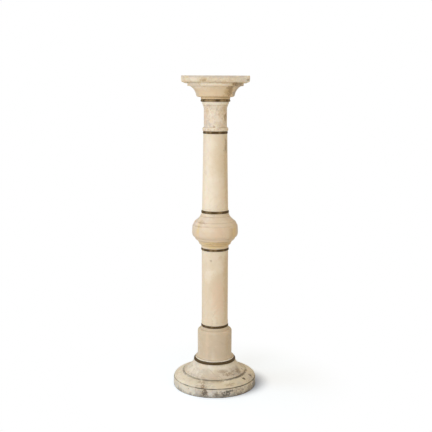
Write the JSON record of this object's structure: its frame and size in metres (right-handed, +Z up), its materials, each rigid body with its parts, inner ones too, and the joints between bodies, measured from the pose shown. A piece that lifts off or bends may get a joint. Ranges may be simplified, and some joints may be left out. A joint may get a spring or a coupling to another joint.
{
  "type": "alabaster pedestal column",
  "caption": "Turned alabaster pedestal column with a square top slab, rounded knop, flared foot and bronze rings at the joints, for carrying a bust or vase.",
  "frame": {"origin": "on the floor, under the middle of the round foot", "axes": "+Z up along the column's axis, -Y towards the viewer of the picture, +X to the viewer's right"},
  "size_m": [0.283, 0.283, 1.05],
  "materials": {
    "shaft_stone": "polished honey and cream alabaster with soft clouding",
    "foot_stone": "worn cream alabaster with grey veins, pits and dirt",
    "slab_stone": "polished cream alabaster with pale and brown patches",
    "ring_bronze": "dark patinated bronze with brassy wear"
  },
  "bodies": {
    "root": {"foot": "foot_stone", "bell": "foot_stone", "foot_ring": "ring_bronze", "base_drum": "shaft_stone", "drum_ring": "ring_bronze", "lower_shaft": "shaft_stone", "knop_lower_ring": "ring_bronze", "knop": "shaft_stone", "knop_upper_ring": "ring_bronze", "upper_shaft": "shaft_stone", "neck_lower_ring": "ring_bronze", "neck": "shaft_stone", "neck_upper_ring": "ring_bronze", "capital": "shaft_stone", "top_slab": "slab_stone"}
  },
  "joints": []
}
